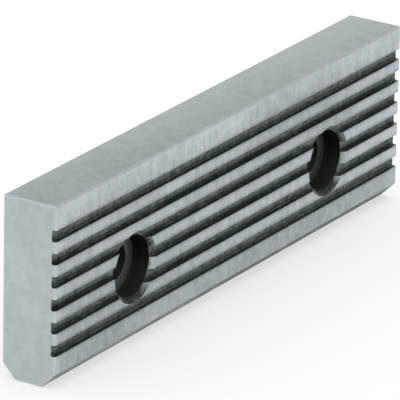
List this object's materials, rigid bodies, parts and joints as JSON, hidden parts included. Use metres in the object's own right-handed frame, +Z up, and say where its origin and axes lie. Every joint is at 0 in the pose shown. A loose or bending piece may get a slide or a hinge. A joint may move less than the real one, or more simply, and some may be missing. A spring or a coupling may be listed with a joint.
{
  "type": "soft jaw plate for a machine vice",
  "caption": "Steel vice jaw plate with long flat-bottomed grip grooves, counterbored screw holes and bevelled lower edges.",
  "frame": {"origin": "middle of the footprint, on the plane the lower edge stands on", "axes": "+X along the plate's length, -Y out of the grooved gripping face, +Z up towards the top face"},
  "size_m": [0.135, 0.013, 0.04],
  "materials": {
    "ground_steel": "ground bright outer faces, dull dark grooves and screw recesses"
  },
  "bodies": {
    "root": {"jaw_plate": "ground_steel"}
  },
  "joints": []
}
